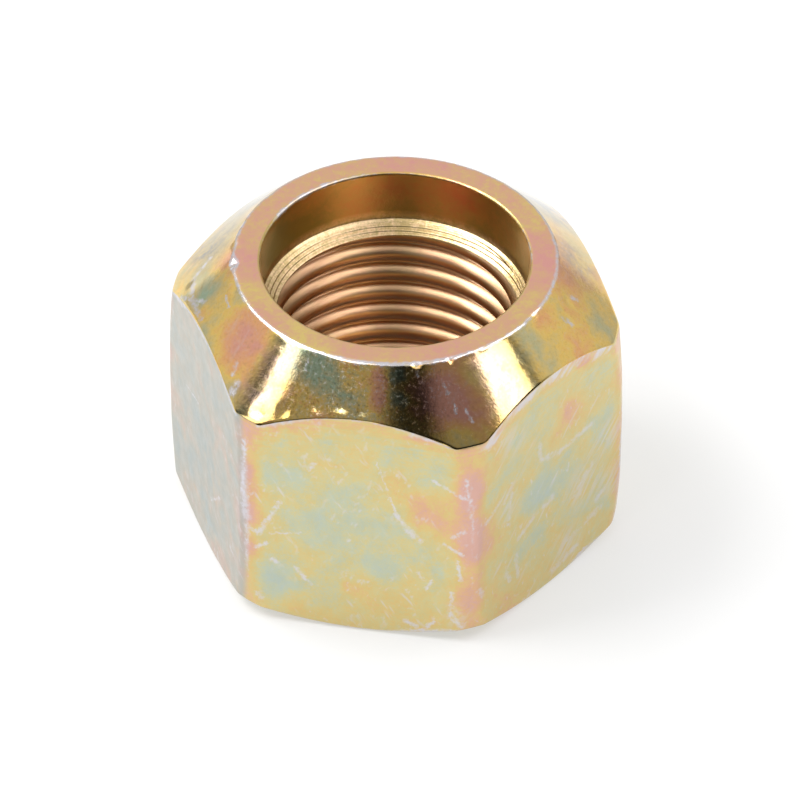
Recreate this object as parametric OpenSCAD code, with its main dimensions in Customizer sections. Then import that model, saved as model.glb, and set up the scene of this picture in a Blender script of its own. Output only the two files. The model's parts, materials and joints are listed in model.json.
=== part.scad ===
// Conical-seat wheel lug nut: a cold-formed hexagon with a 90 degree seat on one end,
// a counterbore that clears the plain part of the stud, and a fine-thread bore.
// It stands on its flat back face at Z = 0, with the bore along +Z and the seat on top.
// Two of the hexagon's corners lie on the X axis. Millimetres.

/* [Hexagon] */
// Width across the flats, a 7/8 inch wrench size
across_flats = 22.2; // [20:0.1:30]
// Overall height, from the back face to the end of the cone
height = 17.4; // [15:0.1:24]
// How far the round blank trims each upright corner at its fullest
corner_trim = 0.1; // [0.05:0.01:0.6]
// Radius of the barrel to which the upright corners bulge
corner_barrel_r = 60; // [30:1:120]

/* [Conical seat] */
// Included angle of the cone that centres the wheel
seat_angle = 90; // [60:1:100]
// Width of the flat ring between the counterbore and the cone
land_w = 1.5; // [0.8:0.1:2]
// Break on the edge between the flat ring and the cone
land_edge = 0.15; // [0.05:0.05:0.3]

/* [Stud passage] */
// Major diameter of the stud's thread, 9/16 inch
thread_d = 14.29; // [12:0.01:15]
// Thread pitch, 18 turns to the inch
thread_pitch = 1.411; // [1:0.001:2]
// Diametral room that the counterbore leaves round the stud
counterbore_clearance = 0.41; // [0.2:0.01:1]
// Depth of the counterbore below the flat ring
counterbore_depth = 3.2; // [1.5:0.1:6]
// Break on the mouth of the counterbore
mouth_edge = 0.2; // [0.05:0.05:0.4]
// Included angle of the drill point that ends the counterbore and leads into the thread
point_angle = 118; // [90:1:140]

/* [Back face] */
// Angle between the back face and the chamfer round it
back_chamfer_angle = 27; // [15:1:45]
// Width of that chamfer, measured in from a sharp corner
back_chamfer_w = 2; // [1:0.1:3]
// Diametral room that the lead-in cone leaves round the stud at the back face
back_lead_clearance = 0.4; // [0.1:0.05:1]
// Included angle of that lead-in cone
back_lead_angle = 90; // [60:1:120]

/* [Hidden] */
$fn = 96;

HEX_SIDES = 6;
// A tapped nut's bore is this many pitches smaller than its thread, a little less than the full form's 1.08
MINOR_DEPTH_PITCHES = 0.98;
// Cutters and blanks run past the faces they trim by this much
OVERRUN = 1;

sharp_corner_r = across_flats / 2 / cos(180 / HEX_SIDES);
blank_r = sharp_corner_r + OVERRUN;

minor_r = (thread_d - MINOR_DEPTH_PITCHES * thread_pitch) / 2;
counterbore_r = (thread_d + counterbore_clearance) / 2;
counterbore_z = height - counterbore_depth;
back_lead_r = (thread_d + back_lead_clearance) / 2;
point_rise = 1 / tan(point_angle / 2);
back_lead_rise = 1 / tan(back_lead_angle / 2);

land_r = counterbore_r + land_w;
seat_rise = 1 / tan(seat_angle / 2);
back_face_r = sharp_corner_r - back_chamfer_w;
back_rise = tan(back_chamfer_angle);

// Heights of the two ends of a sharp upright corner, and of the barrel's fullest point between them
corner_low_z = back_chamfer_w * back_rise;
corner_high_z = height - (sharp_corner_r - land_r) * seat_rise;
barrel_z = (corner_low_z + corner_high_z) / 2;

// Half-section of the round form: back face, chamfer, barrel, cone and flat ring
module envelope_section() {
    intersection() {
        polygon([
            [0, 0],
            [back_face_r, 0],
            [blank_r, (blank_r - back_face_r) * back_rise],
            [blank_r, height - (blank_r - land_r) * seat_rise],
            [land_r + land_edge, height - land_edge * seat_rise],
            [land_r - land_edge, height],
            [0, height]
        ]);
        translate([sharp_corner_r - corner_trim - corner_barrel_r, barrel_z])
            circle(r = corner_barrel_r);
    }
}

// Half-section of the hole: back lead-in, thread bore at its minor diameter, drill point, counterbore
module passage_section() {
    polygon([
        [0, -OVERRUN],
        [back_lead_r + OVERRUN / back_lead_rise, -OVERRUN],
        [minor_r, (back_lead_r - minor_r) * back_lead_rise],
        [minor_r, counterbore_z - (counterbore_r - minor_r) * point_rise],
        [counterbore_r, counterbore_z],
        [counterbore_r, height - mouth_edge],
        [counterbore_r + mouth_edge + OVERRUN, height + OVERRUN],
        [0, height + OVERRUN]
    ]);
}

// The hexagon bar, long enough for the round form to trim both of its ends
module hexagon_bar() {
    translate([0, 0, -OVERRUN])
        cylinder(r = sharp_corner_r, h = height + 2 * OVERRUN, $fn = HEX_SIDES);
}

module lug_nut() {
    color([0.83, 0.70, 0.38])
        difference() {
            intersection() {
                hexagon_bar();
                rotate_extrude() envelope_section();
            }
            rotate_extrude() passage_section();
        }
}

lug_nut();
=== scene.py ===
"""Looks of the lug nut: one closed mesh with its thread, yellow zinc plate, studio light and camera."""
import json
import math

import bmesh
import bpy
import numpy as np
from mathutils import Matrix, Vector, noise


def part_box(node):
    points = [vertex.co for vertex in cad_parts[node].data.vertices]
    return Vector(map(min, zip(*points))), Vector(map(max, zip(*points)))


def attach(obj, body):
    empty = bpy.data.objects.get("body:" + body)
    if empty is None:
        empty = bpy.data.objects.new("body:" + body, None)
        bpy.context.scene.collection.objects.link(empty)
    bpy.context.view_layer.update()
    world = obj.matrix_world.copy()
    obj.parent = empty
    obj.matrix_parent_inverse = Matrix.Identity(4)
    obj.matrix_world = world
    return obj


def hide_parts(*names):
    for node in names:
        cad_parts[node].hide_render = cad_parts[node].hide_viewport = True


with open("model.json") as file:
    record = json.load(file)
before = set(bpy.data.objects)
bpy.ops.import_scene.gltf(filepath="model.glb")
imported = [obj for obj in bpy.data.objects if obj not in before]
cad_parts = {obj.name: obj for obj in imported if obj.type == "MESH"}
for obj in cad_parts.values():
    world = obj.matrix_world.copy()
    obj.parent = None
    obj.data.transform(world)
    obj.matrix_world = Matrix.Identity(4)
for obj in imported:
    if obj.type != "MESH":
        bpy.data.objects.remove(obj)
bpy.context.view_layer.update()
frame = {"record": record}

# Sizes in millimetres, read from the frame, with the flats a hair further in than the solid's
MM = 0.001
NODE = "lug_nut"
LOW, HIGH = (np.array(corner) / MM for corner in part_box(NODE))
MOUNTS = {mount["name"]: mount for mount in frame["record"]["mounts"]}
INSET = 0.002
FLATS_R = (HIGH[1] - LOW[1]) / 2 - INSET
HEIGHT = HIGH[2] - LOW[2]
MINOR_R = MOUNTS["stud_thread"]["dims"]["r_mm"]
COUNTERBORE_R = MOUNTS["stud_counterbore"]["dims"]["r_mm"]

# Sizes in millimetres and angles in degrees that the frame doesn't state, as the solid has them
SIDES = 6
CORNER_R = FLATS_R / math.cos(math.pi / SIDES)
CORNER_TRIM = 0.1
BARREL_R = 60.0
LAND_W = 1.5
LAND_R = COUNTERBORE_R + LAND_W
SEAT_ANGLE = 90
SEAT_SLOPE = math.tan(math.radians(SEAT_ANGLE / 2))
COUNTERBORE_DEPTH = 3.2
COUNTERBORE_Z = HEIGHT - COUNTERBORE_DEPTH
POINT_ANGLE = 118
POINT_SLOPE = math.tan(math.radians(POINT_ANGLE / 2))
BACK_LEAD_R = 7.345
BACK_LEAD_ANGLE = 90
BACK_LEAD_SLOPE = math.tan(math.radians(BACK_LEAD_ANGLE / 2))
BACK_CHAMFER_W = 2.0
BACK_CHAMFER_ANGLE = 27
BACK_FACE_R = CORNER_R - BACK_CHAMFER_W
BACK_SLOPE = math.tan(math.radians(BACK_CHAMFER_ANGLE))
POINT_LOW_Z = COUNTERBORE_Z - (COUNTERBORE_R - MINOR_R) / POINT_SLOPE

# The thread, and the drill point's tool rings: each one's place down the slope and depth, and their width
MAJOR_R = 7.145
PITCH = 1.411
THREAD_PHASE = 0.296
THREAD_GAP = 0.06
THREAD_TOP_Z = POINT_LOW_Z - THREAD_GAP
TOOL_RINGS = [(0.28, 0.035), (0.54, 0.060), (0.80, 0.060)]
TOOL_RING_W = 0.07

# Softness of the edges: a blend of r rounds a 45 degree edge to about 4 r, and a 60 degree one to about 2 r
CORNER_BLEND = 0.40
BARREL_BLEND = 0.10
SCALLOP_BLEND = 0.07
RIM_BLEND = 0.06
FOOT_BLEND = 0.10
MOUTH_ROUND = 0.18

# Mesh density
COLUMNS = 432
CORNER_CROWDING = 0.55
ROWS_PER_TURN = 12
RING_ROWS = 8
CONE_ROWS = 22
SIDE_ROWS = 34
CHAMFER_ROWS = 8
BACK_ROWS = 6
MOUTH_ROWS = 5
WALL_ROWS = 6
LEAD_ROWS = 26
SETTLE_STEPS = 6
EDGE_STEPS = 20
MERGE_M = 2e-6

# The distance that stands for no edge nearby
FAR = 9.0

# Roughness of the flats, and of the parts of the surface that have a finish of their own
FLAT_ROUGHNESS = (0.32, 0.44)
ZONE_ROUGHNESS = {"ring": 0.30, "cone": 0.10, "wall": 0.32, "lead": 0.34, "bore": 0.30}
ZONES = list(ZONE_ROUGHNESS)
SPECK_ROUGHNESS = 0.28
SPECK_ROUGH_SHARE = 0.7
WORN_ROUGHNESS = 0.30
WORN_ROUGH_SHARE = 0.6
COAT_WEIGHT = 0.3
COAT_ROUGHNESS = 0.12

# Depth of the flats' grain, the share of its fine layer, and how much of it some of the other parts have
GRAIN_DEPTH = 0.012
FINE_GRAIN_SHARE = 0.4
GRAIN_SHARES = {"cone": 0.3, "lead": 1.3, "bore": 0.4}


def rounded_max(radius, *fields):
    """The intersection of solids given by their distance fields, with its edges rounded."""
    stack = np.stack(fields)
    reach = np.linalg.norm(np.maximum(stack + radius, 0), axis=0)
    return np.minimum(stack.max(axis=0), -radius) + reach


def flat_fields(x, y):
    """Distance past each of the hexagon's flats."""
    angles = np.radians(30 + 60 * np.arange(SIDES))
    return [x * math.cos(a) + y * math.sin(a) - FLATS_R for a in angles]


def seat_field(r, z):
    """Distance past the conical seat."""
    return (r - LAND_R - (HEIGHT - z) * SEAT_SLOPE) / math.hypot(1, SEAT_SLOPE)


def chamfer_field(r, z):
    """Distance past the chamfer round the back face."""
    return ((r - BACK_FACE_R) * BACK_SLOPE - z) / math.hypot(1, BACK_SLOPE)


CORNER_LOW_Z = (CORNER_R - BACK_FACE_R) * BACK_SLOPE
CORNER_HIGH_Z = HEIGHT - (CORNER_R - LAND_R) / SEAT_SLOPE
BARREL_Z = (CORNER_LOW_Z + CORNER_HIGH_Z) / 2
BARREL_CENTRE_R = CORNER_R - CORNER_TRIM - BARREL_R


def barrel_field(r, z):
    """Distance past the barrel that trims the upright corners."""
    return np.hypot(r - BARREL_CENTRE_R, z - BARREL_Z) - BARREL_R


def barrel_radius(z):
    """Radius of that barrel at a height."""
    return BARREL_CENTRE_R + np.sqrt(BARREL_R**2 - (z - BARREL_Z) ** 2)


def outer_field(points):
    """Distance past the nut's rounded outside."""
    x, y, z = points.T
    r = np.hypot(x, y)
    side = rounded_max(CORNER_BLEND, *flat_fields(x, y))
    side = rounded_max(BARREL_BLEND, side, barrel_field(r, z))
    body = rounded_max(FOOT_BLEND, side, chamfer_field(r, z))
    body = rounded_max(SCALLOP_BLEND, body, seat_field(r, z))
    body = rounded_max(RIM_BLEND, body, z - HEIGHT)
    return rounded_max(RIM_BLEND, body, -z)


def settle(points):
    """Moves points near the outside onto it."""
    step = 1e-3
    least_slope = 0.2
    for _ in range(SETTLE_STEPS):
        value = outer_field(points)
        slope = np.empty_like(points)
        for axis in range(3):
            shift = np.zeros(3)
            shift[axis] = step
            slope[:, axis] = (outer_field(points + shift) - outer_field(points - shift)) / (2 * step)
        steep = np.maximum((slope**2).sum(axis=1), least_slope)
        points = points - slope * (value / steep)[:, None]
    return points


def column_angles():
    """Angles of the mesh columns, crowded at the hexagon's corners."""
    even = np.arange(COLUMNS) / COLUMNS * 2 * math.pi
    return even - CORNER_CROWDING / SIDES * np.sin(SIDES * even)


def crowded(count):
    """Shares from 0 to 1 that crowd at both ends."""
    return (1 - np.cos(np.linspace(0, math.pi, count))) / 2


ANGLE = column_angles()


def ring_points(r, z):
    """Points of one row, from a radius and a height for each column."""
    r = np.broadcast_to(r, ANGLE.shape)
    z = np.broadcast_to(z, ANGLE.shape)
    return np.stack([r * np.cos(ANGLE), r * np.sin(ANGLE), z], axis=1)


def outside_rows():
    """Rows from the mouth over the ring, the seat, the flats and the chamfer to the back lead-in."""
    flat_r = FLATS_R / np.cos((ANGLE % (math.pi / 3)) - math.pi / 6)
    top_r, low_r = flat_r.copy(), flat_r.copy()
    for _ in range(EDGE_STEPS):
        top_z = HEIGHT - (top_r - LAND_R) / SEAT_SLOPE
        low_z = (low_r - BACK_FACE_R) * BACK_SLOPE
        top_r = np.minimum(flat_r, barrel_radius(top_z))
        low_r = np.minimum(flat_r, barrel_radius(low_z))
    rows, zones = [], []
    ring_r = COUNTERBORE_R + MOUTH_ROUND
    for share in crowded(RING_ROWS)[:-1]:
        rows.append(ring_points(ring_r + share * (LAND_R - ring_r), HEIGHT))
        zones.append("ring")
    for share in crowded(CONE_ROWS)[:-1]:
        rows.append(ring_points(LAND_R + share * (top_r - LAND_R), HEIGHT + share * (top_z - HEIGHT)))
        zones.append("cone")
    for share in crowded(SIDE_ROWS)[:-1]:
        z = top_z + share * (low_z - top_z)
        rows.append(ring_points(np.minimum(flat_r, barrel_radius(z)), z))
        zones.append("flat")
    for share in crowded(CHAMFER_ROWS)[:-1]:
        rows.append(ring_points(low_r + share * (BACK_FACE_R - low_r), low_z * (1 - share)))
        zones.append("flat")
    for share in crowded(BACK_ROWS):
        rows.append(ring_points(BACK_FACE_R + share * (BACK_LEAD_R - BACK_FACE_R), 0.0))
        zones.append("flat")
    settled = settle(np.concatenate(rows)).reshape(len(rows), COLUMNS, 3)
    settled[0, :, 2] = HEIGHT
    settled[-1] = ring_points(BACK_LEAD_R, 0.0)
    return list(settled), zones


def hole_radius(angle, z):
    """Radius of the tapped hole: a right-hand thread with round ridges, and the back lead-in."""
    turn = z / PITCH - angle / (2 * math.pi) - THREAD_PHASE
    from_crest = np.abs(turn - np.round(turn))
    depth = (MAJOR_R - MINOR_R) * (1 - np.cos(math.pi * from_crest))
    return np.maximum(MINOR_R + depth, BACK_LEAD_R - z * BACK_LEAD_SLOPE)


def mouth_rows():
    """Rows from the ring's inner edge down the wall and the drill point, where the thread runs out."""
    rows = []
    for share in np.linspace(0, 1, MOUTH_ROWS)[1:]:
        lean = share * math.pi / 2
        rows.append(ring_points(COUNTERBORE_R + MOUTH_ROUND * (1 - math.sin(lean)),
                                HEIGHT - MOUTH_ROUND * (1 - math.cos(lean))))
    wall = COUNTERBORE_Z - HEIGHT + MOUTH_ROUND
    for share in np.linspace(0, 1, WALL_ROWS)[1:-1]:
        rows.append(ring_points(COUNTERBORE_R, HEIGHT - MOUTH_ROUND + share * wall))
    wall_count = len(rows)
    for share in np.linspace(0, 1, LEAD_ROWS):
        groove = sum(deep * math.exp(-(((share - at) / TOOL_RING_W) ** 2)) for at, deep in TOOL_RINGS)
        r = COUNTERBORE_R + share * (MINOR_R - COUNTERBORE_R)
        z = COUNTERBORE_Z + share * (POINT_LOW_Z - COUNTERBORE_Z)
        rows.append(ring_points(np.maximum(r, hole_radius(ANGLE, z)) + groove, z))
    return rows, ["wall"] * wall_count + ["lead"] * LEAD_ROWS


def helix_rows():
    """Rows that follow the thread from below the drill point to the back face."""
    snap = 0.03
    first = math.ceil(ROWS_PER_TURN * (THREAD_TOP_Z / PITCH - THREAD_PHASE))
    last = math.floor(-ROWS_PER_TURN * (1 + THREAD_PHASE))
    rows = []
    for row in range(first, last - 1, -1):
        z = PITCH * (ANGLE / (2 * math.pi) + THREAD_PHASE + row / ROWS_PER_TURN)
        z = np.where(z > THREAD_TOP_Z - snap, THREAD_TOP_Z, np.where(z < snap, 0.0, z))
        rows.append(ring_points(hole_radius(ANGLE, z), z))
    return rows


def edge_distances(points, zone):
    """Distance of each point to the edges that wear, by the edge's name."""
    x, y, z = points.T
    r = np.hypot(x, y)
    seat, top = seat_field(r, z), z - HEIGHT
    flats = np.sort(np.stack(flat_fields(x, y)), axis=0)
    on_rim = np.isin(zone, ["cone", "ring"])
    return {
        "rim_mm": np.where(on_rim, -np.minimum(seat, top), FAR),
        "scallop_mm": np.where(zone == "flat", -np.minimum(seat, flats[-1]), FAR),
        "corner_mm": np.where(zone == "flat", -flats[-2], FAR),
        "foot_mm": np.where(zone == "flat", -np.minimum(chamfer_field(r, z), flats[-1]), FAR),
        "mouth_mm": np.where(np.isin(zone, ["ring", "wall"]), np.hypot(r - COUNTERBORE_R, top), FAR),
    }


def on_flat(face, across, z):
    """Point on a named flat, from its place across the flat and its height."""
    angle = math.radians({"left": 210, "front": 270, "right": 330}[face])
    normal = Vector((math.cos(angle), math.sin(angle), 0)) * FLATS_R
    return normal + Vector((-math.sin(angle), math.cos(angle), 0)) * across + Vector((0, 0, z))


def on_seat(degrees, r):
    """Point on the conical seat, or on the ring where the radius is that small."""
    angle = math.radians(degrees)
    drop = max(r - LAND_R, 0) / SEAT_SLOPE
    return Vector((r * math.cos(angle), r * math.sin(angle), HEIGHT - drop))


def on_wall(degrees, z):
    """Point on the counterbore's wall."""
    angle = math.radians(degrees)
    return Vector((COUNTERBORE_R * math.cos(angle), COUNTERBORE_R * math.sin(angle), z))


# Dents with their radius and depth, as the photo shows them
DENTS = [
    (on_seat(193, 8.85), 0.45, 0.14),
    (on_seat(190, 8.55), 0.30, 0.05),
    (on_seat(206, 9.0), 0.35, 0.07),
    (on_seat(355, 9.75), 0.35, 0.06),
    (on_seat(349, 10.1), 0.30, 0.05),
    (on_seat(353, 8.3), 0.28, 0.05),
    (on_seat(188, 11.1), 0.55, 0.04),
    (on_seat(197, 10.9), 0.50, 0.03),
    (on_seat(288, 8.85), 0.30, 0.08),
    (on_seat(300, 8.85), 0.25, 0.06),
    (on_seat(242, 11.8), 0.70, 0.02),
    (on_seat(249, 11.45), 0.55, 0.03),
    (on_seat(258, 10.85), 0.55, 0.05),
    (on_seat(265, 10.65), 0.45, 0.05),
    (on_seat(271, 10.70), 0.45, 0.05),
    (on_flat("front", -5.9, 6.3), 0.35, 0.04),
    (on_flat("front", 3.0, 7.5), 0.50, 0.05),
    (on_flat("right", 5.2, 5.6), 0.80, 0.06),
    (on_flat("right", -0.7, 9.6), 0.40, 0.05),
]

# The forging's waves and ripples, and the nicks on the edges: lengths in millimetres, scales per millimetre.
# They set in over the first height above the floor.
SET_IN_HEIGHT = 2.0
WAVE_DEPTH = 0.012
WAVE_SCALE = 0.45
CONE_WAVES = 0.5
RIPPLE_SCALE = 1.3
RIPPLE_SHARE = 0.5
NICK_REACH = 0.35
NICK_DEPTH = 0.16
NICK_SCALE = 0.9
NICK_SHIFT = (7, 3, 5)
NICK_START = 0.28


def noise_at(points, scale, shift=(0, 0, 0)):
    """Smooth noise at each point."""
    return np.array([noise.noise(Vector(p) * scale + Vector(shift)) for p in points])


def batter(points, zone, edges):
    """Leaves the forging's slight waves, the dents and small nicks on the edges, all of them inwards."""
    core = np.array([0, 0, HEIGHT / 2])
    inward = core - points
    inward /= np.linalg.norm(inward, axis=1)[:, None]
    waves = noise_at(points, WAVE_SCALE) + RIPPLE_SHARE * noise_at(points, RIPPLE_SCALE)
    nicks = noise_at(points, NICK_SCALE, NICK_SHIFT)
    off_floor = np.clip(points[:, 2] / SET_IN_HEIGHT, 0, 1)
    wavy = np.where(zone == "flat", off_floor, 0) + np.where(zone == "cone", CONE_WAVES, 0)
    depth = WAVE_DEPTH * (1 + waves) * wavy
    edge = np.minimum.reduce([edges[name] for name in ("rim_mm", "scallop_mm", "corner_mm", "foot_mm")])
    outside = np.isin(zone, ["flat", "cone", "ring"])
    near_edge = np.clip(1 - edge / NICK_REACH, 0, 1) * off_floor
    depth += NICK_DEPTH * near_edge * np.clip(nicks - NICK_START, 0, 1)
    for centre, radius, most in DENTS:
        gap = np.linalg.norm(points - np.array(centre), axis=1) / radius
        depth += most * np.clip(1 - gap**2, 0, 1) ** 2
    return points + inward * np.where(outside, depth, 0)[:, None]


def row_join(upper, lower):
    """Quads between two rings that start at these points, with the last column joined to the first."""
    here = np.arange(COLUMNS)
    after = (here + 1) % COLUMNS
    return np.stack([upper + here, lower + here, lower + after, upper + after], axis=1)


def grid_faces(first, rows):
    """Quads between rows of full rings."""
    starts = first + COLUMNS * np.arange(rows)
    return np.concatenate([row_join(upper, lower) for upper, lower in zip(starts[:-1], starts[1:])])


def helix_faces(first, rows):
    """Quads between the thread's rows: past the last column a row runs on one turn higher."""
    row, column = np.meshgrid(np.arange(rows - 1), np.arange(COLUMNS), indexing="ij")
    row, column = row.ravel(), column.ravel()
    over = column == COLUMNS - 1
    after = np.where(over, 0, column + 1)
    drop = np.where(over, ROWS_PER_TURN, 0)

    def index(r, c):
        return first + np.clip(r, 0, rows - 1) * COLUMNS + c

    return np.stack([index(row, column), index(row + 1, column),
                     index(row + 1 - drop, after), index(row - drop, after)], axis=1)


def build_nut():
    """The nut as one closed mesh with the zone and edge attributes that its finish reads."""
    outside, zones = outside_rows()
    mouth, mouth_zones = mouth_rows()
    helix = helix_rows()
    mouth_first = len(outside) * COLUMNS
    helix_first = mouth_first + len(mouth) * COLUMNS
    points = np.concatenate(outside + mouth + helix)
    zone = np.repeat(np.array(zones + mouth_zones + ["bore"] * len(helix)), COLUMNS)
    edges = edge_distances(points, zone)
    points = batter(points, zone, edges)
    inside = np.concatenate([
        row_join(0, mouth_first),
        grid_faces(mouth_first, len(mouth)),
        row_join(helix_first - COLUMNS, helix_first),
        helix_faces(helix_first, len(helix)),
    ])
    faces = np.concatenate([grid_faces(0, len(outside)), inside[:, ::-1]])

    mesh = bpy.data.meshes.new("lug_nut_plated")
    mesh.from_pydata((points * MM).tolist(), [], faces.tolist())
    for name in ZONES:
        edges[name] = zone == name
    for name, values in edges.items():
        layer = mesh.attributes.new(name, "FLOAT", "POINT")
        layer.data.foreach_set("value", values.astype(np.float32))

    work = bmesh.new()
    work.from_mesh(mesh)
    bmesh.ops.remove_doubles(work, verts=work.verts, dist=MERGE_M)
    bmesh.ops.recalc_face_normals(work, faces=work.faces)
    for face in work.faces:
        face.smooth = True
    work.to_mesh(mesh)
    work.free()
    piece = bpy.data.objects.new("lug_nut_plated", mesh)
    bpy.context.scene.collection.objects.link(piece)
    return piece


nut = build_nut()
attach(nut, "root")
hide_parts(NODE)


class Graph:
    """Short names for the shader nodes of one tree."""

    def __init__(self, tree):
        self.tree = tree
        tree.nodes.clear()

    def add(self, kind, values=(), **settings):
        """A node with these inputs and settings."""
        node = self.tree.nodes.new(kind)
        for key, value in settings.items():
            setattr(node, key, value)
        for socket, value in values:
            self.put(node.inputs[socket], value)
        return node

    def put(self, socket, value):
        """Links a socket to an output, or sets its value."""
        if isinstance(value, bpy.types.NodeSocket):
            self.tree.links.new(value, socket)
        else:
            socket.default_value = value

    def math(self, operation, a, b=0.0, c=0.0, clamp=False):
        node = self.add("ShaderNodeMath", [(0, a), (1, b), (2, c)], operation=operation, use_clamp=clamp)
        return node.outputs[0]

    def vector(self, operation, a, b, c=(0, 0, 0)):
        node = self.add("ShaderNodeVectorMath", [(0, a), (1, b), (2, c)], operation=operation)
        return node.outputs["Value" if operation in ("DOT_PRODUCT", "DISTANCE", "LENGTH") else "Vector"]

    def fade(self, value, low, high, to_low=0.0, to_high=1.0):
        """A value mapped smoothly from one range to another, and held at its ends."""
        node = self.add("ShaderNodeMapRange", interpolation_type="SMOOTHSTEP")
        for socket, number in zip(node.inputs, (value, low, high, to_low, to_high)):
            self.put(socket, number)
        return node.outputs[0]

    def noise(self, where, scale, detail=2.0, rough=0.5, distort=0.0, output="Fac"):
        values = [("Vector", where), ("Scale", scale), ("Detail", detail), ("Roughness", rough),
                  ("Distortion", distort)]
        return self.add("ShaderNodeTexNoise", values).outputs[output]

    def mix(self, share, a, b):
        """A mix of two colours."""
        node = self.add("ShaderNodeMix", [("Factor", share)], data_type="RGBA")
        colours = [socket for socket in node.inputs if socket.type == "RGBA"]
        self.put(colours[0], a)
        self.put(colours[1], b)
        return next(socket for socket in node.outputs if socket.type == "RGBA")

    def blend(self, share, a, b):
        """A mix of two numbers."""
        node = self.add("ShaderNodeMix", data_type="FLOAT")
        numbers = [socket for socket in node.inputs if socket.type == "VALUE"]
        for socket, value in zip(numbers, (share, a, b)):
            self.put(socket, value)
        return next(socket for socket in node.outputs if socket.type == "VALUE")

    def sway(self, value, layer, share):
        """A value swayed both ways by a noise layer."""
        return self.math("ADD", value, self.math("MULTIPLY", self.math("SUBTRACT", layer, 0.5), share))

    def ramp(self, value, stops):
        node = self.add("ShaderNodeValToRGB", [(0, value)])
        elements = node.color_ramp.elements
        while len(elements) < len(stops):
            elements.new(0.5)
        for element, (place, colour) in zip(elements, stops):
            element.position = place
            element.color = (*colour, 1)
        return node.outputs[0]

    def attribute(self, name):
        return self.add("ShaderNodeAttribute", attribute_name=name).outputs["Fac"]

    def spots(self, where, places):
        """Sum of soft round spots, each with its centre, radius and amount."""
        total = 0.0
        for centre, radius, amount in places:
            gap = self.vector("DISTANCE", where, centre)
            total = self.math("ADD", self.fade(gap, 0.0, radius, amount, 0.0), total)
        return total

    def strokes(self, where, places):
        """1 on straight marks, each with its two ends and width, and 0 off them."""
        most = 0.0
        for start, end, width in places:
            run = end - start
            share = self.vector("DOT_PRODUCT", where, run / run.length_squared)
            share = self.math("SUBTRACT", share, start.dot(run) / run.length_squared, clamp=True)
            nearest = self.vector("MULTIPLY_ADD", share, run, start)
            gap = self.vector("DISTANCE", where, nearest)
            most = self.math("MAXIMUM", self.fade(gap, 0.1 * width, 0.75 * width, 1.0, 0.0), most)
        return most

    def streaks(self, where, direction, scale):
        """Noise that is drawn out along a direction."""
        squeeze = 0.88
        along = Vector(direction).normalized()
        run = self.vector("DOT_PRODUCT", where, along)
        squeezed = self.vector("MULTIPLY_ADD", run, along * -squeeze, where)
        return self.noise(squeezed, scale, 2.0, 0.55)


CAMERA_AZIMUTH = 10.6
CAMERA_ELEVATION = 40.67
CAMERA_DISTANCE = 0.489
CAMERA_LENS_MM = 398.7
SENSOR_MM = 36
AIM_HEIGHT = 0.00725
AIM_RIGHT = 0.00026

# Softboxes: name, azimuth from the camera, elevation, width, height and radiance, all at one distance
SOFTBOX_DISTANCE = 0.8
SOFTBOXES = [
    ("softbox_right", 70, 40, 0.235, 0.24, 2.6),
    ("softbox_left", -72, 29, 0.11, 0.52, 2.6),
    ("softbox_over", 0, 65, 0.60, 0.16, 1.1),
    ("softbox_high_left", -58, 61, 0.40, 0.20, 3.6),
    ("softbox_high_right", 62, 59, 0.30, 0.20, 3.6),
    ("softbox_back_left", -100, 53, 0.55, 0.40, 6.6),
    ("softbox_back_right", 106, 52, 0.30, 0.30, 2.2),
]

# The world: how far round its dark side fades in, the ray heights between which the ceiling does,
# how bright it is at the horizon, and up to which ray height it brightens
DARK_FADE = 0.14
CEILING_FADE = (0.90, 0.96)
HORIZON_LEVEL = 0.8
HORIZON_TOP = 0.35

# Its dark side, and the fills in it: azimuth from the camera, elevation, the cosines where each starts
# and is full, and level
WORLD_DARK = 0.03
WORLD_FILLS = [
    (-38, 44, 0.88, 0.97, 0.42),
    (46, 44, 0.94, 0.99, 0.29),
]

# The floor's half width and own colour, and the light that lifts it to white where it is seen
FLOOR_HALF = 3.0
FLOOR_COLOUR = (0.445, 0.445, 0.445, 1)
FLOOR_LIFT = 0.50

# Noise layers of the finish: scale per millimetre, detail, roughness and distortion
CLOUD = (0.32, 2.0, 0.5, 0.8)
FINE = (1.1, 2.0, 0.5, 0.3)
MOTTLE = (2.6, 4.0, 0.7, 0.6)
COLOUR_GRAIN = (7.0, 3.0, 0.7)
TORN_EDGES = (2.6, 4.0, 0.7)
BROKEN_MARKS = (2.4, 3.0, 0.7)
WOBBLE = (4.0, 3.0, 0.7)
WOBBLE_REACH = 0.25
SPECKLE = (5.0, 3.0, 0.65)
GLOSS = (1.3, 4.0, 0.65, 0.3)
GRAIN = (2.6, 3.0, 0.6)
FINE_GRAIN = (7.0, 2.0, 0.5)
ROLLED_STRETCH = (0.2, 0.2, 5.0)

# Directions of the streaks in the worn edges, the scuffs and the hairlines that cross them
WEAR_RUN = (0.40, 0.69, 0.60)
SCUFF_RUN = (0.35, 0.60, 0.72)
CROSS_RUN = (-0.5, 0.2, 0.84)

# The film's thickness on the outside and on the counterbore's wall, before tints and noise, and the
# strength of the left flat's painted grazing sheen (a pale grey film), the seat's specks and pits, and the
# right flat's faint scratches
FILM_BASE = 0.44
WALL_BASE = 0.5
GRAZING_SHEEN_SHARE = 0.84
SPECK_SHARE = 0.40
PIT_SHARE = 0.45
FAINT_SHARE = 0.7

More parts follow.
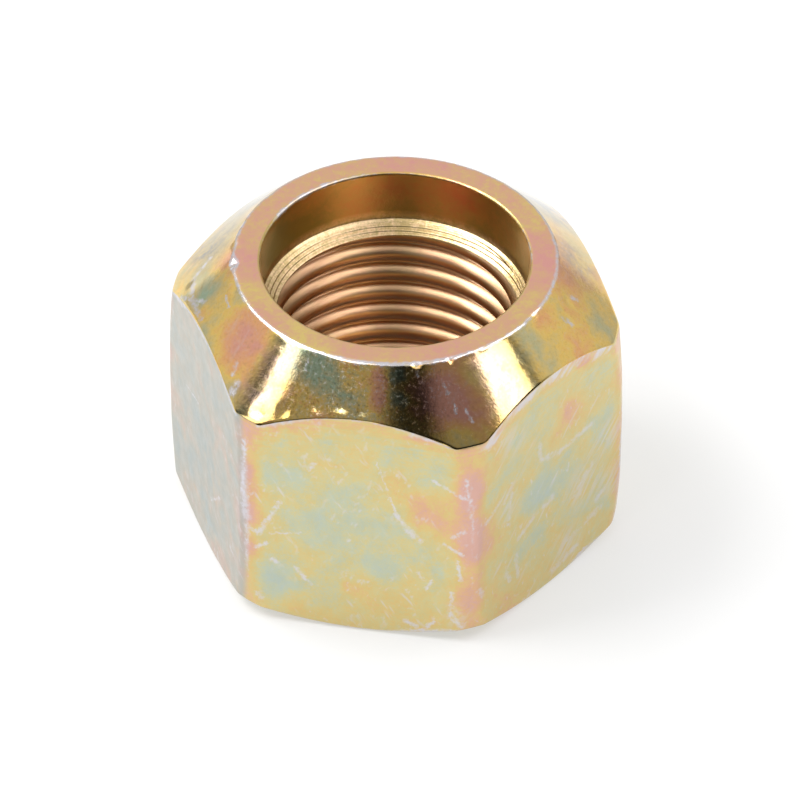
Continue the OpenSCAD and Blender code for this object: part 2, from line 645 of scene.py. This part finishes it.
# Colours of the chromate film from thin to thick, as linear red, green and blue
FLAT_FILM = [
    (0.00, (0.475, 0.545, 0.475)),
    (0.20, (0.53, 0.56, 0.40)),
    (0.42, (0.64, 0.56, 0.275)),
    (0.62, (0.70, 0.53, 0.215)),
    (0.82, (0.72, 0.44, 0.26)),
    (1.00, (0.68, 0.41, 0.34)),
]
# Painted grazing sheen: pale greys that stand in for the whitened grazing reflection of the left flat
GRAZING_SHEEN_FILM = [
    (0.28, (0.39, 0.44, 0.455)),
    (0.50, (0.455, 0.445, 0.42)),
    (0.72, (0.55, 0.435, 0.395)),
]
CONE_FILM = [
    (0.00, (0.40, 0.50, 0.33)),
    (0.25, (0.58, 0.51, 0.26)),
    (0.48, (0.84, 0.57, 0.15)),
    (0.72, (0.83, 0.43, 0.18)),
    (1.00, (0.76, 0.36, 0.26)),
]
RING_FILM = [
    (0.05, (0.80, 0.60, 0.20)),
    (0.45, (0.78, 0.47, 0.26)),
    (0.95, (0.79, 0.38, 0.33)),
]
WALL_FILM = [
    (0.15, (0.40, 0.37, 0.11)),
    (0.50, (0.63, 0.42, 0.14)),
    (0.90, (0.72, 0.30, 0.13)),
]
LEAD_FILM = [
    (0.30, (0.54, 0.40, 0.18)),
    (0.70, (0.88, 0.64, 0.38)),
]
BORE_FILM = [
    (0.25, (0.60, 0.39, 0.205)),
    (0.75, (0.63, 0.35, 0.205)),
]
DULL_FILM = (0.27, 0.26, 0.215, 1)
# Painted highlight tint: the pale pink under the seat's lamp strips
STRIP_HIGHLIGHT_PINK = (0.84, 0.63, 0.52, 1)
DARK_SPECK = (0.16, 0.12, 0.07, 1)
BARE_ZINC_AND_GLINT = (0.66, 0.64, 0.68, 1)

# Where the film is thicker or thinner: centre, radius and amount, as the photo shows it. The spot low on the
# right flat is painted shade.
FILM_TINTS_AND_SHADE = [
    (on_flat("front", -4.0, 10.4), 2.2, -0.34),
    (on_flat("front", -0.2, 8.6), 3.6, -0.30),
    (on_flat("front", -4.6, 3.0), 2.3, -0.30),
    (on_flat("front", 1.5, 4.6), 2.2, -0.26),
    (on_flat("front", -1.0, 6.0), 3.2, -0.12),
    (on_flat("front", -6.1, 10.5), 1.3, 0.34),
    (on_flat("front", -6.1, 7.5), 1.4, 0.44),
    (on_flat("front", -6.0, 5.0), 1.1, 0.28),
    (on_flat("front", 4.4, 9.0), 2.6, 0.42),
    (on_flat("front", -3.6, 1.6), 1.3, 0.18),
    (on_flat("front", 6.3, 11.0), 2.2, 0.35),
    (on_flat("front", 6.3, 7.6), 2.4, 0.38),
    (on_flat("front", 6.0, 3.2), 2.2, 0.32),
    # Painted shade: the low front of the right flat is made thicker, darker and more orange, as less light
    # reaches it from below
    (on_flat("right", -3.5, 1.5), 3.0, 0.15),
    (on_flat("right", 1.7, 11.6), 1.8, 0.28),
    (on_flat("right", 0.2, 10.6), 1.4, 0.20),
    (on_flat("right", -1.0, 7.5), 2.2, -0.42),
    (on_flat("right", 1.3, 7.2), 2.2, -0.36),
    (on_flat("right", 4.8, 9.0), 2.4, -0.22),
    (on_flat("right", -1.2, 4.0), 2.4, -0.20),
    (on_flat("right", -5.0, 6.0), 2.2, 0.22),
    (on_seat(197, 10.4), 1.2, -0.30),
    (on_seat(214, 11.0), 1.6, -0.10),
    (on_seat(227, 9.7), 3.2, 0.55),
    (on_seat(255, 9.5), 1.9, -0.50),
    (on_seat(264, 10.2), 1.4, -0.30),
    (on_seat(275, 9.2), 0.8, 0.55),
    (on_seat(275.2, 9.75), 0.8, 0.50),
    (on_seat(275.5, 10.3), 0.8, 0.55),
    (on_seat(281.5, 9.3), 0.8, -0.40),
    (on_seat(281.5, 10.2), 0.9, -0.45),
    (on_seat(293, 10.2), 2.4, 0.75),
    (on_seat(300, 11.0), 1.8, 0.55),
    (on_seat(332, 10.0), 1.7, -0.10),
    (on_seat(342, 9.3), 1.5, 0.35),
    (on_seat(346, 11.4), 1.8, 0.30),
    (on_seat(356, 10.3), 1.8, 0.10),
    (on_seat(90, 8.1), 5.0, 0.25),
    (on_seat(190, 8.1), 2.5, 0.40),
    (on_seat(212, 8.1), 1.6, -0.25),
    (on_seat(235, 8.1), 3.5, -0.30),
    (on_seat(265, 8.1), 2.0, 0.20),
    (on_seat(300, 8.1), 3.0, 0.25),
    (on_seat(10, 8.1), 3.5, 0.40),
]

# Where the left flat's painted grazing sheen, a pale grey film, runs on past its corner: centre, radius and
# strength
GRAZING_SHEEN_PLACES = [
    (on_flat("left", -7.0, 11.0), 4.2, 0.8),
    (on_flat("left", -7.6, 5.0), 4.6, 0.8),
]

# Where the film on the seat is dull: centre, radius and strength
DULL_PLACES = [
    (on_seat(174, 10.4), 3.4, 1.0),
    (on_seat(150, 10.0), 3.4, 0.90),
    (on_seat(18, 9.9), 3.0, 0.7),
    (on_seat(48, 10.2), 4.2, 1.0),
    (on_seat(75, 10.2), 4.2, 0.8),
    (on_seat(232, 11.6), 0.7, 0.6),
]

# Where it is a pale pink, in the same form: a painted highlight tint under the seat's two lamp strips, so
# that their highlights read pinkish white
STRIP_HIGHLIGHT_PLACES = [
    (on_seat(313, 9.6), 2.0, 0.70),
    (on_seat(315, 10.9), 2.0, 0.70),
    (on_seat(241, 9.9), 1.8, 0.70),
    (on_seat(240, 11.3), 1.8, 0.70),
]

# The same as the tints on the counterbore's wall: redder behind on the right, olive at its foot
WALL_TINTS = [
    (on_wall(72, 16.8), 2.6, 0.45),
    (on_wall(100, 16.2), 2.2, 0.15),
    (on_wall(60, 14.4), 2.2, -0.25),
    (on_wall(100, 14.3), 2.0, -0.20),
    (on_wall(140, 14.6), 2.6, -0.45),
    (on_wall(162, 15.6), 3.0, -0.50),
]

# The film is thicker along the flats' edges: the edge, the reach and the amount
EDGE_FILM = [("scallop_mm", 1.1, 0.22), ("corner_mm", 1.3, 0.30), ("foot_mm", 1.2, 0.08)]

# Worn edges: the edge, the width of its line, its softness and strength, the share of it that is broken up,
# and the places where it is wider, each with its centre, reach and added width; the wide places on the rim's
# front and the front-left corner are partly painted highlight
EDGE_WEAR_AND_GLINT = [
    ("rim_mm", 0.06, 0.06, 1.0, 0.3, [
        # Partly painted highlight: the rim's front line is widened where its rounding catches the lamps
        (on_seat(280, 8.85), 6.0, 0.05),
        (on_seat(193, 8.85), 0.9, 0.20),
    ]),
    ("mouth_mm", 0.05, 0.06, 0.9, 0.5, [
        (on_seat(118, 7.4), 1.3, 0.12),
        (on_seat(131, 7.4), 1.3, 0.16),
        (on_seat(144, 7.4), 1.3, 0.18),
        (on_seat(157, 7.4), 1.3, 0.15),
        (on_seat(15, 7.3), 1.4, 0.08),
    ]),
    ("scallop_mm", 0.03, 0.08, 0.9, 0.4, [
        (on_flat("front", -4.5, 14.2), 2.4, 0.10),
        (on_flat("front", 3.5, 14.6), 2.4, 0.08),
        (on_flat("left", -4.0, 14.4), 2.4, 0.20),
        (on_flat("left", 0.0, 15.1), 2.4, 0.15),
        (on_flat("left", 4.5, 14.2), 2.4, 0.20),
    ]),
    ("scallop_mm", -0.15, 0.25, 0.85, 0.8, [
        (on_flat("right", -4.6, 14.0), 2.2, 0.85),
        (on_flat("right", -1.8, 15.0), 2.2, 0.85),
        (on_flat("right", 1.2, 15.1), 2.2, 0.85),
        (on_flat("right", 4.2, 14.4), 2.2, 0.80),
    ]),
    ("corner_mm", 0.0, 0.08, 1.0, 0.4, [
        # Partly painted highlight: the front-left corner's line over worn zinc, widened where its rounding
        # catches the lamps
        (on_flat("front", -6.4, 12.0), 2.8, 0.30),
        (on_flat("front", -6.4, 8.6), 2.8, 0.30),
        (on_flat("right", 6.4, 5.6), 3.0, 0.32),
        (on_flat("right", 6.4, 9.6), 2.6, 0.22),
        (on_flat("front", 6.4, 9.0), 3.0, 0.14),
        (on_flat("front", 6.4, 4.0), 2.6, 0.16),
    ]),
    ("foot_mm", 0.0, 0.10, 0.9, 0.4, [
        (on_flat("front", 4.0, 0.4), 3.0, 0.20),
        (on_flat("right", 3.0, 0.8), 2.4, 0.30),
    ]),
]

# Soft scuffs on the flats: centre, radius and strength
SCUFFS = [
    (on_flat("right", 3.0, 5.4), 2.4, 0.60),
    (on_flat("right", 5.0, 7.6), 2.0, 0.60),
    (on_flat("right", 5.6, 4.2), 1.8, 0.55),
    (on_flat("right", 1.6, 2.0), 1.8, 0.50),
    (on_flat("right", -3.2, 12.6), 1.8, 0.45),
    (on_flat("right", -3.4, 8.0), 1.6, 0.40),
    (on_flat("front", 5.4, 2.0), 1.4, 0.35),
]

# Scratches on the flats, and the front-left corner's pale line, which is partly painted highlight: face, the
# two ends across the flat and up it, and width
SCRATCHES_AND_CORNER_GLINT = [
    # Partly painted highlight: these three run down the front-left corner and widen its pale line where its
    # rounding catches the lamps
    ("front", -6.45, 13.6, -6.40, 9.8, 0.62),
    ("front", -6.40, 9.8, -6.15, 6.5, 0.54),
    ("front", -6.15, 6.4, -6.25, 3.4, 0.34),
    ("front", -5.5, 6.2, -4.3, 8.6, 0.30),
    ("front", -4.8, 6.3, -3.2, 6.6, 0.18),
    ("front", -5.7, 5.2, -5.1, 5.5, 0.24),
    ("front", -6.1, 6.5, -5.4, 6.2, 0.28),
    ("front", -4.7, 4.4, -4.3, 4.1, 0.36),
    ("front", -3.4, 4.0, -2.6, 2.9, 0.28),
    ("front", -5.6, 1.8, -5.4, 1.5, 0.34),
    ("front", -2.7, 11.3, -2.4, 11.7, 0.32),
    ("front", 1.0, 12.4, 1.6, 10.5, 0.10),
    ("front", 1.6, 10.5, 2.1, 8.8, 0.16),
    ("front", 2.1, 8.8, 2.5, 8.1, 0.30),
    ("front", 2.5, 8.1, 3.4, 7.1, 0.42),
    ("front", 4.2, 11.5, 6.0, 10.4, 0.20),
    ("front", 6.0, 11.8, 6.4, 8.4, 0.26),
    ("front", 6.4, 8.4, 6.4, 7.2, 0.30),
    ("front", 5.2, 7.6, 5.9, 8.1, 0.24),
    ("front", 4.8, 7.0, 5.8, 6.4, 0.22),
    ("front", 5.5, 5.9, 5.7, 4.6, 0.24),
    ("front", 5.2, 3.5, 5.2, 2.1, 0.28),
    ("front", 3.4, 4.8, 3.6, 4.3, 0.26),
    ("front", 3.8, 3.6, 4.1, 4.3, 0.22),
    ("front", 2.7, 1.1, 3.3, 0.8, 0.30),
    ("front", 3.7, 0.7, 4.2, 1.3, 0.24),
    ("front", 5.2, 1.9, 5.8, 1.1, 0.42),
    ("right", -3.8, 8.6, -3.2, 9.5, 0.34),
    ("right", -3.2, 9.1, -3.5, 6.8, 0.32),
    ("right", -2.6, 5.2, -1.1, 6.0, 0.40),
    ("right", -0.6, 9.6, 0.8, 9.2, 0.44),
    ("right", 0.8, 9.2, 3.6, 9.4, 0.36),
    ("right", -0.9, 10.8, -0.7, 9.6, 0.36),
    ("right", 0.3, 0.9, 2.4, 1.3, 0.50),
    ("right", 3.2, 2.6, 4.5, 2.8, 0.42),
    ("right", 1.6, 2.3, 2.7, 2.3, 0.36),
    ("right", 4.1, 3.6, 4.8, 3.9, 0.50),
    ("right", -0.4, 6.1, 0.3, 6.3, 0.50),
    ("right", -2.8, 4.1, -2.6, 2.5, 0.34),
    ("right", -5.4, 8.1, -4.1, 9.0, 0.30),
    ("right", 2.2, 5.2, 3.6, 6.4, 0.50),
    ("right", -3.6, 3.2, -3.3, 2.6, 0.36),
    ("right", -5.9, 3.6, -5.6, 3.0, 0.36),
    ("left", 1.0, 4.0, 2.6, 5.4, 0.16),
    ("left", -3.2, 9.0, -1.0, 9.4, 0.14),
    ("left", 4.2, 3.2, 5.2, 3.0, 0.20),
]

# The hidden flats repeat the scratches upside down, with this height between the two ends
FLIP_HEIGHT = 14.0

# Flecks on the conical seat: the angle and radius of the two ends, and width
FLECKS = [
    (181, 10.3, 186, 11.1, 0.40),
    (186, 11.1, 195, 11.1, 0.40),
    (190, 11.7, 195, 11.1, 0.26),
    (195, 11.1, 200, 10.5, 0.30),
    (195, 11.1, 205, 10.9, 0.36),
    (205, 9.5, 210, 9.6, 0.18),
    (228, 10.8, 229, 11.2, 0.30),
    (232, 11.4, 232, 11.8, 0.50),
    (250, 9.3, 251, 9.7, 0.16),
    (288, 8.9, 288, 9.35, 0.24),
    (296, 9.7, 297, 10.2, 0.20),
    (301, 10.9, 302, 11.4, 0.22),
    (298, 10.6, 298, 11.0, 0.18),
    (348, 9.95, 349, 10.3, 0.34),
    (358, 9.85, 359, 10.1, 0.34),
]

# The middle of the seat's front, where it is blotched and speckled most
SEAT_FRONT = on_seat(272, 10.2)


def from_front(g, mm):
    """Distance from the middle of the seat's front."""
    return g.vector("DISTANCE", mm, SEAT_FRONT)


def film_colour(g, mm, zones):
    """Colour of the chromate film in each zone, from its thickness there, with painted grazing sheen on the
    left flat, a painted highlight tint under the seat's lamp strips and painted shade low on the right flat.
    """
    cloud = g.noise(mm, *CLOUD)
    fine = g.noise(mm, *FINE)
    mottle = g.noise(mm, *MOTTLE)
    grain = g.noise(mm, *COLOUR_GRAIN)
    rolled = g.noise(g.vector("MULTIPLY", mm, ROLLED_STRETCH), 1.0)
    # The film's thickness from its tints, of which the spot low on the right flat is painted shade
    broad = g.sway(g.math("ADD", g.spots(mm, FILM_TINTS_AND_SHADE), FILM_BASE), cloud, 0.8)
    film = g.sway(broad, fine, 0.5)
    scallop = g.attribute("scallop_mm")
    flat_film = g.sway(g.sway(broad, fine, 0.3), rolled, g.fade(scallop, 0.3, 2.6, 0.5, 0.0))
    flat_film = g.sway(g.sway(flat_film, mottle, 0.30), grain, 0.50)
    for name, reach, amount in EDGE_FILM:
        flat_film = g.math("ADD", flat_film, g.fade(g.attribute(name), 0.1, reach, amount, 0.0))
    colour = g.ramp(flat_film, FLAT_FILM)

    # Painted grazing sheen: the left flat, and the area past its corner, take a pale grey film for their
    # whitened grazing reflection
    left_normal = on_flat("left", 0, 0) / FLATS_R
    off_left = g.math("SUBTRACT", FLATS_R, g.vector("DOT_PRODUCT", mm, left_normal))
    grazing_sheen = g.ramp(g.sway(cloud, fine, 0.4), GRAZING_SHEEN_FILM)
    grazing_sheen_share = g.math("MAXIMUM", g.fade(off_left, 0.10, 0.38, GRAZING_SHEEN_SHARE, 0.0), g.spots(mm, GRAZING_SHEEN_PLACES))
    grazing_sheen_share = g.math("MINIMUM", grazing_sheen_share, g.fade(fine, 0.55, 0.75, 0.94, 0.70))
    colour = g.mix(grazing_sheen_share, colour, grazing_sheen)

    wall_film = g.math("ADD", g.spots(mm, WALL_TINTS), WALL_BASE)
    wall_film = g.sway(g.sway(wall_film, cloud, 0.6), mottle, 0.5)
    hole_film = g.sway(cloud, mottle, 0.8)
    lead_film = g.sway(g.sway(cloud, mottle, 1.2), grain, 0.9)
    blotches = g.fade(from_front(g, mm), 2.5, 5.5, 0.9, 0.25)
    seat = g.ramp(g.sway(film, mottle, blotches), CONE_FILM)
    patchy = g.fade(g.sway(fine, mottle, 0.6), 0.3, 0.7, 0.5, 1.2)
    seat = g.mix(g.math("MULTIPLY", g.spots(mm, DULL_PLACES), patchy, clamp=True), seat, DULL_FILM)
    # Painted highlight tint: pale pink under the seat's two lamp strips
    seat = g.mix(g.math("MULTIPLY", g.spots(mm, STRIP_HIGHLIGHT_PLACES), patchy, clamp=True), seat, STRIP_HIGHLIGHT_PINK)
    colour = g.mix(zones["cone"], colour, seat)
    colour = g.mix(zones["ring"], colour, g.ramp(g.sway(film, mottle, 1.4), RING_FILM))
    colour = g.mix(zones["wall"], colour, g.ramp(wall_film, WALL_FILM))
    colour = g.mix(zones["lead"], colour, g.ramp(lead_film, LEAD_FILM))
    return g.mix(zones["bore"], colour, g.ramp(hole_film, BORE_FILM))


def worn_and_glint_share(g, mm, zones):
    """1 where the film is worn or scratched off to bare zinc, and along the rim's front and the front-left
    corner, where the pale line is partly a painted highlight.
    """
    cloud = g.noise(mm, *CLOUD)
    ragged = g.math("SUBTRACT", g.noise(mm, *TORN_EDGES), 0.5)
    patchy = g.fade(cloud, 0.35, 0.6, 0.7, 1.1)
    streaky = g.streaks(mm, WEAR_RUN, 3.0)
    worn_and_glint = 0.0
    for name, line, soft, strength, broken, places in EDGE_WEAR_AND_GLINT:
        width = g.math("MULTIPLY", g.spots(mm, places), patchy)
        torn = g.math("MULTIPLY", ragged, g.math("MULTIPLY_ADD", width, 1.8, 0.25))
        reach = g.math("ADD", torn, g.math("ADD", width, line))
        gap = g.math("SUBTRACT", g.attribute(name), reach)
        kept = g.fade(streaky, 0.40, 0.60, strength * (1 - broken), strength)
        worn_and_glint = g.math("MAXIMUM", worn_and_glint, g.math("MULTIPLY", g.fade(gap, -soft, soft, 1.0, 0.0), kept))

    wobble = g.noise(mm, *WOBBLE, output="Color")
    shift = g.vector("MULTIPLY_ADD", wobble, (2 * WOBBLE_REACH,) * 3, (-WOBBLE_REACH,) * 3)
    bent = g.vector("ADD", mm, shift)
    behind = g.math("GREATER_THAN", g.add("ShaderNodeSeparateXYZ", [(0, bent)]).outputs["Y"], 0.0)
    side = g.math("SUBTRACT", 1.0, g.math("MULTIPLY", behind, 2.0))
    turn = g.add("ShaderNodeCombineXYZ", [(0, side), (1, side), (2, side)]).outputs[0]
    lift = g.add("ShaderNodeCombineXYZ", [(2, g.math("MULTIPLY", behind, FLIP_HEIGHT))]).outputs[0]
    turned = g.vector("MULTIPLY_ADD", bent, turn, lift)
    deep = [(on_seat(a, b), on_seat(c, d), wide) for a, b, c, d, wide in FLECKS]
    faint = []
    # Scratches go to the deep or the faint marks; those down the front-left corner are partly painted
    # highlight
    for face, a, b, c, d, wide in SCRATCHES_AND_CORNER_GLINT:
        kind = faint if face == "right" else deep
        kind.append((on_flat(face, a, b), on_flat(face, c, d), wide))
    faint_marks = g.math("MULTIPLY", g.strokes(turned, faint), FAINT_SHARE)
    marks_and_glint = g.math("MAXIMUM", g.strokes(turned, deep), faint_marks)
    marks_and_glint = g.math("MULTIPLY", marks_and_glint, g.fade(g.noise(mm, *BROKEN_MARKS), 0.30, 0.60, 0.05, 0.85))

    drawn = g.streaks(mm, SCUFF_RUN, 2.4)
    crossed = g.streaks(mm, CROSS_RUN, 2.9)
    hair = g.math("MAXIMUM", g.fade(drawn, 0.57, 0.75), g.fade(crossed, 0.59, 0.77))
    hair = g.math("MULTIPLY", hair, g.fade(cloud, 0.42, 0.62, 0.1, 0.55))
    scuffed = g.fade(g.streaks(mm, SCUFF_RUN, 3.2), 0.38, 0.66)
    scuffs = g.math("MULTIPLY", g.spots(turned, SCUFFS), scuffed)
    covered = g.math("ADD", g.math("MULTIPLY", zones["cone"], 0.7), zones["ring"])
    for name in ("wall", "lead", "bore"):
        covered = g.math("ADD", covered, zones[name])
    bared = g.math("SUBTRACT", 1.0, covered, clamp=True)
    soft_marks = g.math("MULTIPLY", g.math("MAXIMUM", hair, scuffs), bared)
    return g.math("MAXIMUM", worn_and_glint, g.math("MAXIMUM", marks_and_glint, soft_marks))


def plated_material():
    """Yellow chromated zinc: film colours by zone, bare zinc where it is worn and, in part as painted
    highlight, along the rim's front and the front-left corner, soft flats, bright seat.
    """
    material = bpy.data.materials.new("yellow_zinc_plate")
    material.use_nodes = True
    g = Graph(material.node_tree)
    place = g.add("ShaderNodeTexCoord").outputs["Object"]
    mm = g.vector("MULTIPLY", place, (1 / MM,) * 3)
    zones = {name: g.attribute(name) for name in ZONES}
    worn_and_glint = worn_and_glint_share(g, mm, zones)
    speckle = g.noise(mm, *SPECKLE)
    speckled = g.math("MULTIPLY", zones["cone"], g.fade(from_front(g, mm), 2.5, 5.5, 1.0, 0.3))
    cone_speck = g.math("MULTIPLY", g.fade(speckle, 0.50, 0.70), speckled)
    cone_pit = g.math("MULTIPLY", g.fade(speckle, 0.30, 0.48, 1.0, 0.0), speckled)
    colour = g.mix(g.math("MULTIPLY", cone_speck, SPECK_SHARE), film_colour(g, mm, zones), BARE_ZINC_AND_GLINT)
    colour = g.mix(g.math("MULTIPLY", cone_pit, PIT_SHARE), colour, DARK_SPECK)
    # Bare zinc where worn; along the rim's front and the front-left corner it is partly a painted highlight
    colour = g.mix(worn_and_glint, colour, BARE_ZINC_AND_GLINT)

    rough = g.fade(g.noise(mm, *GLOSS), 0.3, 0.7, *FLAT_ROUGHNESS)
    for name, value in ZONE_ROUGHNESS.items():
        rough = g.blend(zones[name], rough, value)
    rough = g.blend(g.math("MULTIPLY", cone_speck, SPECK_ROUGH_SHARE), rough, SPECK_ROUGHNESS)
    rough = g.blend(g.math("MULTIPLY", worn_and_glint, WORN_ROUGH_SHARE), rough, WORN_ROUGHNESS)

    fine_grain = g.math("MULTIPLY", g.noise(mm, *FINE_GRAIN), FINE_GRAIN_SHARE)
    grain = g.math("ADD", g.noise(mm, *GRAIN), fine_grain)
    for name, share in GRAIN_SHARES.items():
        grain = g.math("MULTIPLY", grain, g.blend(zones[name], 1.0, share))
    bump = g.add("ShaderNodeBump", [("Strength", 1.0), ("Distance", GRAIN_DEPTH * MM), ("Height", grain)])
    shader = g.add("ShaderNodeBsdfPrincipled", [
        ("Base Color", colour), ("Metallic", 1.0), ("Roughness", rough), ("Normal", bump.outputs[0]),
        ("Coat Weight", COAT_WEIGHT), ("Coat Roughness", COAT_ROUGHNESS)])
    out = g.add("ShaderNodeOutputMaterial")
    g.tree.links.new(shader.outputs[0], out.inputs[0])
    return material


def toward(azimuth, elevation):
    a, e = math.radians(azimuth), math.radians(elevation)
    return Vector((math.sin(a) * math.cos(e), -math.cos(a) * math.cos(e), math.sin(e)))


def from_camera(azimuth, elevation):
    """Unit vector from the object, with the azimuth counted from the camera's."""
    return toward(CAMERA_AZIMUTH + azimuth, elevation)


def make_floor():
    """A pale floor that keeps the nut's shadow and is lifted to white where it is seen outside the bore."""
    half = FLOOR_HALF
    mesh = bpy.data.meshes.new("floor")
    corners = [(-half, -half, 0), (half, -half, 0), (half, half, 0), (-half, half, 0)]
    mesh.from_pydata(corners, [], [(0, 1, 2, 3)])
    floor = bpy.data.objects.new("floor", mesh)
    bpy.context.scene.collection.objects.link(floor)
    material = bpy.data.materials.new("white_floor")
    material.use_nodes = True
    g = Graph(material.node_tree)
    path = g.add("ShaderNodeLightPath").outputs
    seen = g.math("MAXIMUM", path["Is Camera Ray"], path["Is Glossy Ray"])
    seen = g.math("MAXIMUM", seen, path["Is Transmission Ray"])
    place = g.add("ShaderNodeTexCoord").outputs["Object"]
    outside = g.fade(g.vector("LENGTH", place, (0, 0, 0)), MINOR_R * MM, FLATS_R * MM)
    lift = g.math("MULTIPLY", g.math("MULTIPLY", seen, outside), FLOOR_LIFT)
    paper = g.add("ShaderNodeBsdfDiffuse", [("Color", FLOOR_COLOUR)]).outputs[0]
    glow = g.add("ShaderNodeEmission", [("Strength", lift)]).outputs[0]
    both = g.add("ShaderNodeAddShader", [(0, paper), (1, glow)])
    out = g.add("ShaderNodeOutputMaterial")
    g.tree.links.new(both.outputs[0], out.inputs[0])
    mesh.materials.append(material)


def make_world():
    """A white studio, dark on the camera's side but for its ceiling and fills, and white to the camera."""
    world = bpy.data.worlds.new("studio")
    bpy.context.scene.world = world
    world.use_nodes = True
    g = Graph(world.node_tree)
    ray = g.add("ShaderNodeTexCoord").outputs["Generated"]
    ahead = g.vector("DOT_PRODUCT", ray, from_camera(0, 0))
    up = g.add("ShaderNodeSeparateXYZ", [(0, ray)]).outputs["Z"]
    dark = g.math("MULTIPLY", g.fade(ahead, 0.0, DARK_FADE), g.fade(up, *CEILING_FADE, 1.0, 0.0))
    dim = WORLD_DARK
    for azimuth, elevation, start, full, amount in WORLD_FILLS:
        near = g.vector("DOT_PRODUCT", ray, from_camera(azimuth, elevation))
        dim = g.math("ADD", g.fade(near, start, full, 0.0, amount), dim)
    bright = g.fade(up, 0.0, HORIZON_TOP, HORIZON_LEVEL, 1.0)
    level = g.blend(dark, bright, dim)
    camera = g.add("ShaderNodeLightPath").outputs["Is Camera Ray"]
    back = g.add("ShaderNodeBackground", [("Strength", g.blend(camera, level, 1.0))])
    out = g.add("ShaderNodeOutputWorld")
    g.tree.links.new(back.outputs[0], out.inputs[0])


def make_softbox(name, azimuth, elevation, width, height, radiance):
    """A softbox that faces the nut."""
    lamp = bpy.data.lights.new(name, "AREA")
    lamp.shape = "RECTANGLE"
    lamp.size = width
    lamp.size_y = height
    lamp.energy = radiance * math.pi * width * height
    box = bpy.data.objects.new(name, lamp)
    away = from_camera(azimuth, elevation)
    box.location = away * SOFTBOX_DISTANCE
    box.rotation_mode = "QUATERNION"
    box.rotation_quaternion = away.to_track_quat("Z", "Y")
    box.visible_camera = False
    bpy.context.scene.collection.objects.link(box)


def make_camera():
    """The photograph's view."""
    data = bpy.data.cameras.new("camera")
    data.lens = CAMERA_LENS_MM
    data.sensor_width = SENSOR_MM
    data.clip_start = 0.05
    data.clip_end = 20
    camera = bpy.data.objects.new("camera", data)
    away = from_camera(0, CAMERA_ELEVATION)
    aim = Vector((0, 0, AIM_HEIGHT)) + from_camera(90, 0) * AIM_RIGHT
    camera.location = aim + away * CAMERA_DISTANCE
    camera.rotation_mode = "QUATERNION"
    camera.rotation_quaternion = away.to_track_quat("Z", "Y")
    bpy.context.scene.collection.objects.link(camera)
    bpy.context.scene.camera = camera


nut.data.materials.append(plated_material())
make_floor()
make_world()
for softbox in SOFTBOXES:
    make_softbox(*softbox)
make_camera()
bpy.context.scene.view_settings.view_transform = "Standard"
